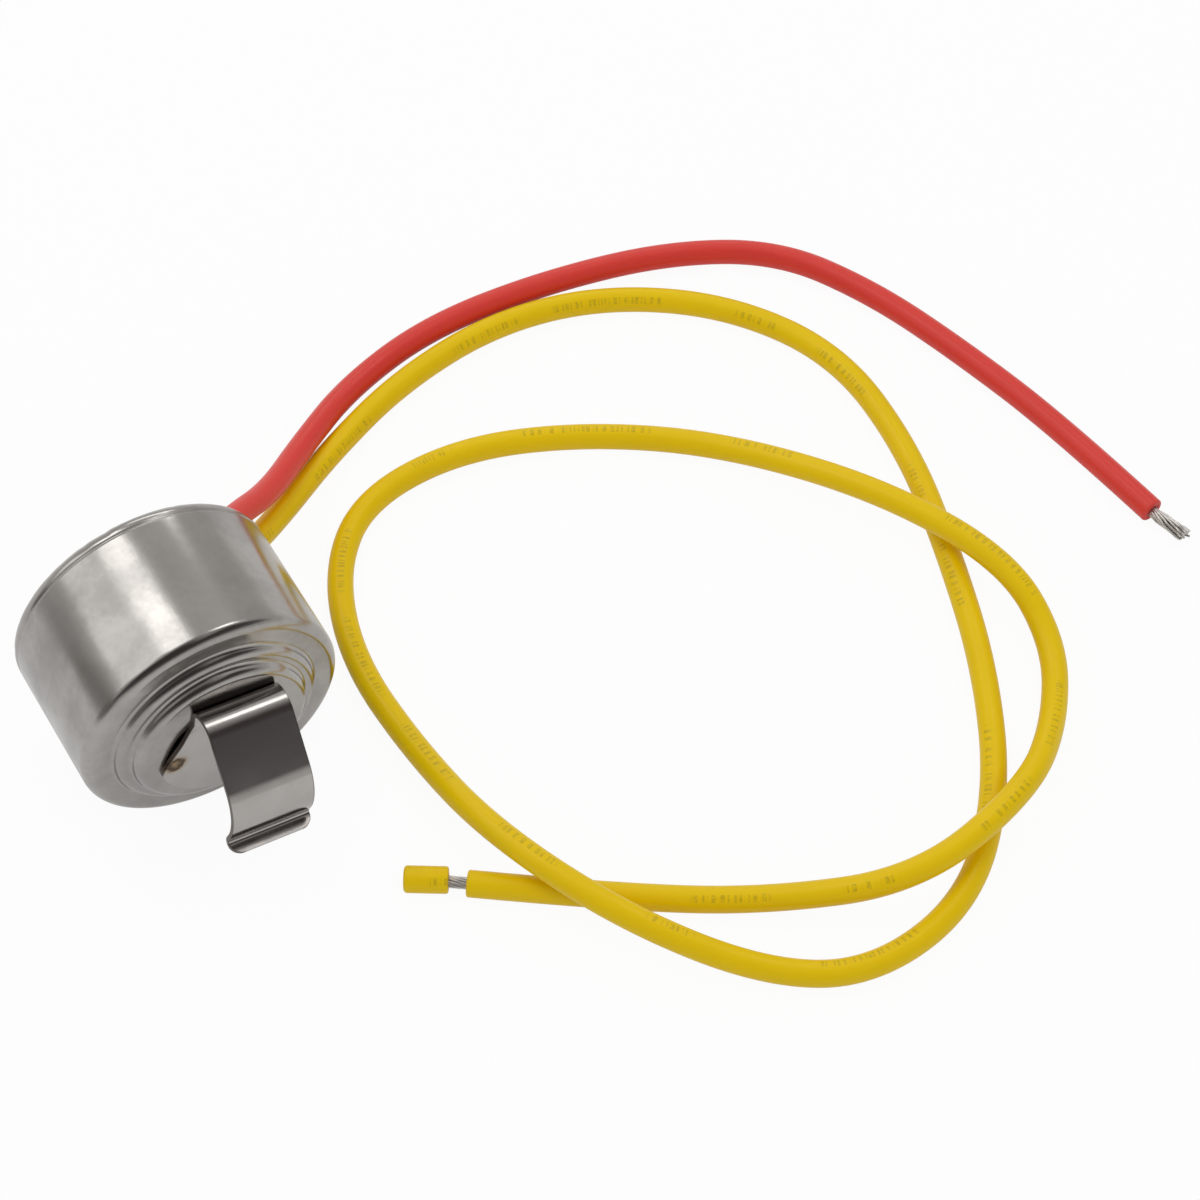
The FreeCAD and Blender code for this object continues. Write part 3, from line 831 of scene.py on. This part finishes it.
def point_at(path, spans, distance):
    """The point on a line of straight pieces at a distance from its start."""
    index = max(at for at, span in enumerate(spans[:-1]) if span <= distance + 1e-9)
    share = (distance - spans[index]) / (spans[index + 1] - spans[index])
    return path[index].lerp(path[index + 1], min(share, 1.0))


def clip_rows(settings, clip_settings):
    """Rows of the blank: half width, height and reach of its middle line, and lift of its edges."""
    path = clip_path(settings, clip_settings)
    plate = settings.middle_height + clip_settings.sheet / 2
    spans = [0.0]
    for before, after in zip(path, path[1:]):
        spans.append(spans[-1] + (after - before).length)
    neck = clip_settings.neck_height
    drop = clip_settings.ear_drop
    end = neck + spans[-1]

    round_rows = [math.sin(math.radians(turn)) * clip_settings.plate_radius for turn in range(-88, -10, 3)]
    neck_steps = 10
    flat = [along for along in round_rows if along < -drop]
    flat += [-drop + (neck + drop) * step / neck_steps for step in range(neck_steps)]
    highest = 0.65
    rows = []
    for along in flat:
        share = max(0.0, (along + drop) / (neck + drop))
        lift = clip_settings.neck_lift * eased(share / highest)
        lift *= 1 - eased((share - highest) / (1 - highest))
        rows.append((clip_half_width(clip_settings, along, end), along, plate, lift))

    corner = clip_settings.lip_corner
    corner_steps = (0.0, 0.2, 0.4, 0.6, 0.76, 0.88, 0.96, 1.0)
    places = [span for span in spans if span < spans[-1] - corner - 0.05 * MM]
    places += [spans[-1] - corner * (1.0 - step) for step in corner_steps]
    for place in places:
        point = point_at(path, spans, place)
        rows.append((clip_half_width(clip_settings, neck + place, end), point.x, point.y, 0.0))
    return rows


class THERMOSTAT_OT_clip(bpy.types.Operator):
    """Builds the tube clip as one blank bent along its line, with rounded sheared edges"""

    bl_idname = "thermostat.clip"
    bl_label = "Tube clip"

    def execute(self, context):
        settings = context.scene.thermostat_can
        clip_settings = context.scene.thermostat_clip
        columns = 16
        vertices, faces = [], []
        for half, height, reach, lift in clip_rows(settings, clip_settings):
            for column in range(columns + 1):
                side = 2 * column / columns - 1
                vertices.append((half * side, -reach - lift * side**2, height))
        row_count = len(vertices) // (columns + 1)
        for row in range(row_count - 1):
            for column in range(columns):
                first = row * (columns + 1) + column
                faces.append((first, first + 1, first + columns + 2, first + columns + 1))
        clip = mesh_from("tube_clip_strip", vertices, faces, clip_steel(settings, clip_settings))
        layer = clip.data.uv_layers.new(name="UVMap")
        for loop in clip.data.loops:
            row, column = divmod(loop.vertex_index, columns + 1)
            layer.data[loop.index].uv = (column / columns, row / (row_count - 1))
        clip.data.transform(clip_frame(settings, clip_settings))
        outward(clip)
        wall = clip.modifiers.new("Sheet", "SOLIDIFY")
        wall.thickness = clip_settings.sheet
        wall.offset = 0.0
        wall.use_even_offset = True
        edges = clip.modifiers.new("Sheared edges", "BEVEL")
        edges.width = clip_settings.edge_round
        edges.segments = 3
        edges.limit_method = "ANGLE"
        edges.angle_limit = math.radians(50.0)
        edges.harden_normals = True
        frozen(clip)
        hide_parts("tube_clip")
        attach(clip, BODY)
        return {"FINISHED"}


# Leads


def lead_curve(name, points, radius, material):
    """One open smooth line with a round section."""
    data = bpy.data.curves.new(name, "CURVE")
    data.dimensions = "3D"
    data.resolution_u = 16
    data.bevel_depth = radius
    data.bevel_resolution = 10
    data.use_fill_caps = True
    data.twist_mode = "Z_UP"
    line = data.splines.new("NURBS")
    line.points.add(len(points) - 1)
    for target, point in zip(line.points, points):
        target.co = (*point, 1.0)
    line.order_u = 3
    line.use_endpoint_u = True
    return new_object(name, data, material)


def end_frame(points):
    """Matrix that puts local +Z along a lead's last run, from its end."""
    last = Vector(points[-1])
    way = (last - Vector(points[-2])).normalized()
    return Matrix.Translation(last) @ way.to_track_quat("Z", "Y").to_matrix().to_4x4()


def turned_along(name, profile, place, material):
    """A closed ring turned about local Z from an outline of (radius, along) and put in place."""
    segments = 64
    count = len(profile)
    vertices, faces = [], []
    for step in range(segments):
        angle = math.tau * step / segments
        for radius, along in profile:
            vertices.append((radius * math.cos(angle), radius * math.sin(angle), along))
    for step in range(segments):
        after = (step + 1) % segments
        for index in range(count):
            other = (index + 1) % count
            faces.append((step * count + index, after * count + index,
                          after * count + other, step * count + other))
    made = mesh_from(name, vertices, faces, material)
    layer = made.data.uv_layers.new(name="UVMap")
    # The map goes on as a lead's own does, so that the marks on the slug match
    map_start, map_length = 0.93, 0.4
    for face in made.data.polygons:
        for loop in face.loop_indices:
            vertex = made.data.loops[loop].vertex_index
            step = vertex // count
            if step == 0 and face.index >= (segments - 1) * count:
                step = segments
            layer.data[loop].uv = (map_start + profile[vertex % count][1] / map_length, step / segments)
    made.data.transform(place)
    return outward(made)


def rounded_edge(outer, place, radius, way):
    """Outline from a tube's cut face to its skin over a rounded edge, as (radius, along)."""
    steps = 6
    angles = [math.pi / 2 * step / steps for step in range(steps + 1)] if radius > 0 else [0.0]
    return [
        (outer - radius + radius * math.sin(angle), place + way * (radius - radius * math.cos(angle)))
        for angle in angles
    ]


def rounded_ring(outer, inner, start, end, start_round, end_round):
    """Outline of a tube's wall with rounded outer edges, as (radius, along)."""
    first = rounded_edge(outer, start, start_round, 1)
    last = rounded_edge(outer, end, end_round, -1)
    return [(inner, start), *first, *reversed(last), (inner, end)]


def strand_tree(name):
    """Geometry Nodes: a bundle of twisted wires along local Z with an uneven cut end."""
    tree, given, out = new_group(
        name, "Geometry",
        {"Geometry": "Geometry", "Length": "Float", "Twist": "Float", "Ring radius": "Float",
         "Wire radius": "Float", "Wires": "Int", "Uneven": "Float", "Bend": "Float", "Flatten": "Float",
         "Flare": "Float", "Stray": "Float", "Seed": "Int", "Material": "Material"},
        {"Wires": "Geometry"},
    )
    line = add_node(tree, "GeometryNodeCurvePrimitiveLine", inputs={
        "Start": (0.0, 0.0, 0.0), "End": joined(tree, 0.0, 0.0, given["Length"])})
    fine = add_node(tree, "GeometryNodeResampleCurve", inputs={0: line.outputs[0], "Count": 40})
    spots = add_node(tree, "GeometryNodeMeshLine", inputs={
        "Count": given["Wires"], "Offset": (0.0, 0.0, 0.0)})
    wires = add_node(tree, "GeometryNodeInstanceOnPoints", inputs={
        "Points": spots.outputs[0], "Instance": fine.outputs[0]}).outputs[0]
    index = add_node(tree, "GeometryNodeInputIndex").outputs[0]
    random = add_node(tree, "FunctionNodeRandomValue", data_type="FLOAT", inputs={
        "Seed": given["Seed"], 2: 0.0, 3: 1.0}).outputs[1]
    named = []
    for title, value in (
        ("wire_turn", math_node(tree, "DIVIDE", index, given["Wires"])), ("wire_cut", random),
    ):
        wires = add_node(
            tree, "GeometryNodeStoreNamedAttribute", data_type="FLOAT", domain="INSTANCE",
            inputs={"Geometry": wires, "Name": title, "Value": value},
        ).outputs[0]
        named.append(add_node(tree, "GeometryNodeInputNamedAttribute", data_type="FLOAT",
                              inputs={"Name": title}).outputs[0])
    wire_turn, wire_cut = named
    real = add_node(tree, "GeometryNodeRealizeInstances", inputs={0: wires})
    height = parted(tree, add_node(tree, "GeometryNodeInputPosition").outputs[0])[2]
    along = times(tree, height, minus(tree, 1.0, times(tree, wire_cut, given["Uneven"])))
    jitter = add_node(tree, "ShaderNodeTexNoise", noise_dimensions="4D", inputs={
        "W": times(tree, wire_cut, 37.0), "Scale": 1.0, "Detail": 1.0,
        "Vector": joined(tree, 0.0, 0.0, times(tree, along, 520.0))}).outputs[0]
    angle = plus(tree, times(tree, wire_turn, math.tau), times(tree, along, given["Twist"]))
    angle = plus(tree, angle, times(tree, jitter, 0.5))
    reached = math_node(tree, "DIVIDE", along, given["Length"])
    stray = times(tree, minus(tree, jitter, 0.5), given["Stray"])
    flared = plus(tree, 1.0, times(tree, given["Flare"], reached))
    spread = times(tree, given["Ring radius"], times(tree, flared, plus(tree, 1.0, stray)))
    lean = times(tree, times(tree, along, along), given["Bend"])
    squash = minus(tree, 1.0, times(tree, reached, given["Flatten"]))
    side = plus(tree, times(tree, spread, math_node(tree, "COSINE", angle)), lean)
    up = times(tree, times(tree, spread, math_node(tree, "SINE", angle)), squash)
    placed = add_node(tree, "GeometryNodeSetPosition", inputs={
        "Geometry": real.outputs[0], "Position": joined(tree, side, up, along)})
    section = add_node(tree, "GeometryNodeCurvePrimitiveCircle", inputs={
        "Resolution": 12, "Radius": given["Wire radius"]})
    swept = add_node(tree, "GeometryNodeCurveToMesh", inputs={
        "Curve": placed.outputs[0], "Profile Curve": section.outputs[0], "Fill Caps": True})
    finish_skin(tree, swept.outputs[0], given["Material"], out["Wires"])
    return tree


def strand_bundle(name, lead_settings, length, place, material, shape):
    """Two rings of twisted wires, joined in one mesh; shape is how loose they lie."""
    tree = shared("Twisted strands", strand_tree)
    wire = lead_settings.strand_wire / 2
    outer = lead_settings.strand_bundle / 2 - wire
    work = bmesh.new()
    for ring, (radius, count) in enumerate(((outer, 12), (outer * 0.5, 5))):
        title = f"{name}_{ring}"
        made = grown_piece(title, bpy.data.meshes.new(title), tree, {
            "Length": length, "Ring radius": radius, "Wire radius": wire * 1.06, "Wires": count,
            "Material": material, **shape,
        })
        made.data.transform(place)
        work.from_mesh(made.data)
        bpy.data.objects.remove(made)
    mesh = bpy.data.meshes.new(name)
    work.to_mesh(mesh)
    work.free()
    return new_object(name, mesh, material)


class THERMOSTAT_OT_leads(bpy.types.Operator):
    """Lays the two leads along their routes, with their cut ends, slug and twisted strands"""

    bl_idname = "thermostat.leads"
    bl_label = "Leads"

    def execute(self, context):
        settings = context.scene.thermostat_leads
        radius = settings.diameter / 2
        core = settings.strand_bundle / 2
        yellow = insulation("Yellow insulation", settings.yellow, 0.20, settings.mark)
        red = insulation("Red insulation", settings.red, 0.34)
        yellow_cut = cut_plastic("Cut yellow insulation", settings.yellow)
        red_cut = cut_plastic("Cut red insulation", settings.red)
        tin = plain_metal("Tinned strands", settings.tin, 0.36, strength=0.25)

        yellow_lead = lead_curve("yellow_lead_insulation", YELLOW_POINTS, radius, yellow)
        red_lead = lead_curve("red_lead_insulation", RED_POINTS, radius, red)

        place = end_frame(YELLOW_POINTS)
        lip = settings.cut_round
        cut_end = rounded_ring(radius, core * 0.98, 0.0, lip, 0.0, lip)
        yellow_end = turned_along("yellow_cut_end", cut_end, place, yellow_cut)
        slug_start = lip + settings.yellow_gap - 0.1 * MM
        slug_end = settings.yellow_gap + settings.slug
        middle = Vector((0.0, 0.0, (slug_start + slug_end) / 2))
        turned = (place @ Matrix.Translation(middle) @ Matrix.Rotation(settings.slug_turn, 4, "Y")
                  @ Matrix.Translation(-middle))
        slug = turned_along(
            "yellow_slug", rounded_ring(radius, core * 1.02, slug_start, slug_end, lip, lip * 1.5), turned,
            yellow,
        )
        yellow_strands = strand_bundle(
            "yellow_strands", settings, slug_end - 0.15 * MM, place, tin,
            {"Twist": 420.0, "Uneven": 0.015, "Bend": 0.0, "Flatten": 0.0, "Flare": 0.0, "Stray": 0.15,
             "Seed": 5},
        )
        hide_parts("yellow_bare_end")
        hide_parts("yellow_end_sleeve")

        place = end_frame(RED_POINTS)
        red_end = turned_along("red_cut_end", cut_end, place, red_cut)
        red_strands = strand_bundle(
            "red_strands", settings, settings.red_bare, place, tin,
            {"Twist": 310.0, "Uneven": 0.10, "Bend": 24.0, "Flatten": 0.12, "Flare": 0.5, "Stray": 1.25,
             "Seed": 11},
        )
        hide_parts("red_bare_end")

        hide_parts("yellow_lead")
        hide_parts("red_lead")
        for made, slot in (
            (yellow_lead, "yellow_pvc"), (yellow_end, "yellow_pvc"), (slug, "yellow_pvc"),
            (yellow_strands, "tinned_copper"), (red_lead, "red_pvc"), (red_end, "red_pvc"),
            (red_strands, "tinned_copper"),
        ):
            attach(made, BODY)
        return {"FINISHED"}


# Pieces kept from the frame


class THERMOSTAT_OT_inner(bpy.types.Operator):
    """Gives the resin and the hidden switch parts, kept from the frame, their materials"""

    bl_idname = "thermostat.inner"
    bl_label = "Resin and switch"

    def execute(self, context):
        settings = context.scene.thermostat_can
        leads = context.scene.thermostat_leads
        phenolic = plain_solid("Dark phenolic", (0.045, 0.030, 0.024), 0.45)
        brass = plain_metal("Pressed brass", (0.72, 0.52, 0.22), 0.3)
        silver = plain_metal("Contact silver", (0.80, 0.79, 0.76), 0.22)
        tin = plain_metal("Crimped tin", leads.tin, 0.3)
        finishes = {
            "sealing_resin": plain_solid("Cast resin", settings.resin_colour, 0.38, 0.35, 0.00008),
            "can_liner": plain_solid("Liner paper", (0.50, 0.36, 0.20), 0.8),
            "chamber_cover": plain_solid("Pressed board", (0.23, 0.11, 0.05), 0.7),
            "switch_base": phenolic,
            "disc_retainer": phenolic,
            "transfer_pin": plain_solid("Steatite", (0.74, 0.71, 0.65), 0.5),
            "bimetal_disc": plain_metal("Bimetal strip", (0.52, 0.47, 0.40), 0.35),
            "contact_arm": plain_metal("Copper spring strip", (0.70, 0.40, 0.24), 0.3),
            "moving_contact": silver,
            "fixed_contact": silver,
            "fixed_terminal": brass,
            "arm_terminal": brass,
            "arm_rivet": brass,
            "red_crimped_end": tin,
            "yellow_crimped_end": tin,
        }
        for name, material in finishes.items():
            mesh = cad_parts[name].data
            mesh.materials.clear()
            mesh.materials.append(material)
        return {"FINISHED"}


# Stage


# Each lamp's name, direction from the can, distance, width and height, and how bright its panel looks
LAMPS = (
    ("Key", (-0.08, 0.46, 0.88), 0.60, (0.22, 0.34), 2.05),
    ("Strip", (0.55, 0.22, 0.80), 0.60, (0.13, 0.22), 2.6),
    ("Wide", (-0.57, 0.44, 0.69), 0.70, (0.36, 0.46), 0.80),
    ("Back", (0.42, 0.76, 0.50), 0.70, (0.36, 0.16), 1.9),
    ("Front", (0.25, -0.55, 0.80), 0.80, (0.45, 0.45), 1.2),
)


def soft_box(middle, name, direction, distance, size, radiance):
    """A rectangular lamp in a direction from the can, set by how bright its panel looks."""
    data = bpy.data.lights.new(name, "AREA")
    data.shape = "RECTANGLE"
    data.size, data.size_y = size
    data.energy = math.pi * size[0] * size[1] * radiance
    lamp = new_object(name, data)
    way = Vector(direction).normalized()
    lamp.location = middle + way * distance
    lamp.rotation_euler = way.to_track_quat("Z", "Y").to_euler()
    return lamp


def studio_world():
    """White to the camera, plain grey as light, and a room with a dark front to mirror rays."""
    world = bpy.data.worlds.new("Studio room")
    world.use_nodes = True
    tree = world.node_tree
    tree.nodes.clear()
    rays = add_node(tree, "ShaderNodeLightPath").outputs
    seen = math_node(tree, "MAXIMUM", rays["Is Camera Ray"], rays["Is Transmission Ray"])
    across, depth, height = parted(tree, add_node(tree, "ShaderNodeTexCoord").outputs["Generated"])

    def edge(value, *stops):
        return ramp(tree, value, stops, smooth=True)

    walls = edge(height, (0.0, (0.95, 0.94, 0.93)), (0.14, (0.62, 0.61, 0.60)), (0.55, (0.58, 0.57, 0.56)),
                 (0.80, (0.64, 0.63, 0.62)), (1.0, (0.45, 0.44, 0.43)))
    dark = times(tree, edge(minus(tree, 0.2, depth), (0.18, 0.0), (0.36, 1.0)),
                 edge(height, (0.27, 0.0), (0.42, 1.0)))
    opening = times(tree, edge(across, (0.08, 0.0), (0.24, 0.75)), edge(height, (0.80, 0.0), (0.90, 1.0)))
    dark = times(tree, dark, minus(tree, 1.0, opening))
    depths = edge(height, (0.20, (0.070, 0.052, 0.046)), (0.33, (0.078, 0.070, 0.070)),
                  (0.46, (0.125, 0.118, 0.122)), (0.56, (0.085, 0.080, 0.082)),
                  (0.72, (0.065, 0.052, 0.048)))
    flag = times(tree, edge(minus(tree, 0.0, across), (0.77, 0.0), (0.87, 1.0)),
                 edge(height, (0.30, 1.0), (0.44, 0.0)))
    room = mix_colour(tree, times(tree, flag, 0.8), walls, (0.15, 0.135, 0.125))
    room = mix_colour(tree, dark, room, depths)
    mirrored = mix_colour(tree, rays["Is Glossy Ray"], (0.50, 0.50, 0.50), room)
    shown = mix_colour(tree, seen, mirrored, (1.0, 1.0, 1.0))
    glow = add_node(tree, "ShaderNodeBackground", inputs={0: shown, 1: 1.0})
    final = add_node(tree, "ShaderNodeOutputWorld")
    tree.links.new(glow.outputs[0], final.inputs["Surface"])
    return world


def floor_material(settings):
    """Pale floor, near white to the camera and part white to mirror rays, with a soft shadow."""
    material = bpy.data.materials.new("Pale floor")
    material.use_nodes = True
    tree = material.node_tree
    tree.nodes.clear()
    grain = ramp(tree, noise(tree, surface_place(tree), 30.0), [(0.3, 0.985), (0.7, 1.0)])
    shade = mix_colour(tree, 1.0, grain, settings.floor, "MULTIPLY")
    matte = add_node(tree, "ShaderNodeBsdfDiffuse", inputs={"Color": shade})
    glow = add_node(tree, "ShaderNodeEmission", inputs={"Color": (1.0, 1.0, 1.0, 1.0), "Strength": 1.0})
    rays = add_node(tree, "ShaderNodeLightPath").outputs
    mirrored = math_node(tree, "MAXIMUM", rays["Is Glossy Ray"], rays["Is Transmission Ray"])
    seen = math_node(tree, "MAXIMUM", times(tree, rays["Is Camera Ray"], 0.94), times(tree, mirrored, 0.41))
    blend = add_node(tree, "ShaderNodeMixShader", inputs={0: seen, 1: matte.outputs[0], 2: glow.outputs[0]})
    final = add_node(tree, "ShaderNodeOutputMaterial")
    tree.links.new(blend.outputs[0], final.inputs["Surface"])
    return material


class THERMOSTAT_OT_stage(bpy.types.Operator):
    """Sets the floor, the lights, the white surroundings and the camera"""

    bl_idname = "thermostat.stage"
    bl_label = "Stage"

    def execute(self, context):
        scene = context.scene
        settings = scene.thermostat_stage
        face = face_y(scene.thermostat_can)
        aim = Vector((settings.aim_x, settings.aim_y + face, 0.0))
        back = Vector((
            math.sin(settings.azimuth) * math.cos(settings.elevation),
            -math.cos(settings.azimuth) * math.cos(settings.elevation),
            math.sin(settings.elevation),
        ))
        data = bpy.data.cameras.new("Camera")
        data.lens = settings.lens
        data.sensor_width = 36.0
        data.clip_start, data.clip_end = 0.01, 20.0
        camera = new_object("Camera", data)
        camera.location = aim + back * settings.distance
        camera.rotation_euler = (-back).to_track_quat("-Z", "Y").to_euler()
        scene.camera = camera

        half = 3.0
        floor = mesh_from("floor", [(-half, -half, 0), (half, -half, 0), (half, half, 0), (-half, half, 0)],
                          [(0, 1, 2, 3)], floor_material(settings))

        scene.view_settings.view_transform = "Standard"
        scene.world = studio_world()
        middle = Vector((0.0, face + 0.008, AXIS_HEIGHT))
        for name, *panel in LAMPS:
            lamp = soft_box(middle, name, *panel)
            lamp.visible_glossy = name != "Front"
        return {"FINISHED"}


# Panel, registration and the run


class THERMOSTAT_PT_panel(bpy.types.Panel):
    """Lists the thermostat's build steps and sizes"""

    bl_idname = "THERMOSTAT_PT_panel"
    bl_label = "Defrost thermostat"
    bl_space_type = "VIEW_3D"
    bl_region_type = "UI"
    bl_category = "Thermostat"

    def draw(self, context):
        layout = self.layout
        for operator in OPERATORS:
            layout.operator(operator.bl_idname)
        for name in GROUPS:
            box = layout.box()
            group = getattr(context.scene, name)
            for title in group.__annotations__:
                box.prop(group, title)


GROUPS = {
    "thermostat_can": CanSettings,
    "thermostat_clip": ClipSettings,
    "thermostat_leads": LeadSettings,
    "thermostat_stage": StageSettings,
}
OPERATORS = (
    THERMOSTAT_OT_stage,
    THERMOSTAT_OT_leads,
    THERMOSTAT_OT_can,
    THERMOSTAT_OT_clip,
    THERMOSTAT_OT_inner,
)


def register():
    for group in (*GROUPS.values(), *OPERATORS, THERMOSTAT_PT_panel):
        bpy.utils.register_class(group)
    for name, group in GROUPS.items():
        setattr(bpy.types.Scene, name, bpy.props.PointerProperty(type=group))


def unregister():
    for name in GROUPS:
        delattr(bpy.types.Scene, name)
    for group in reversed((*GROUPS.values(), *OPERATORS, THERMOSTAT_PT_panel)):
        bpy.utils.unregister_class(group)


def main():
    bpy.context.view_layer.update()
    register()
    bpy.ops.thermostat.stage()
    bpy.ops.thermostat.leads()
    bpy.ops.thermostat.can()
    bpy.ops.thermostat.clip()
    bpy.ops.thermostat.inner()


if __name__ == "__main__":
    main()
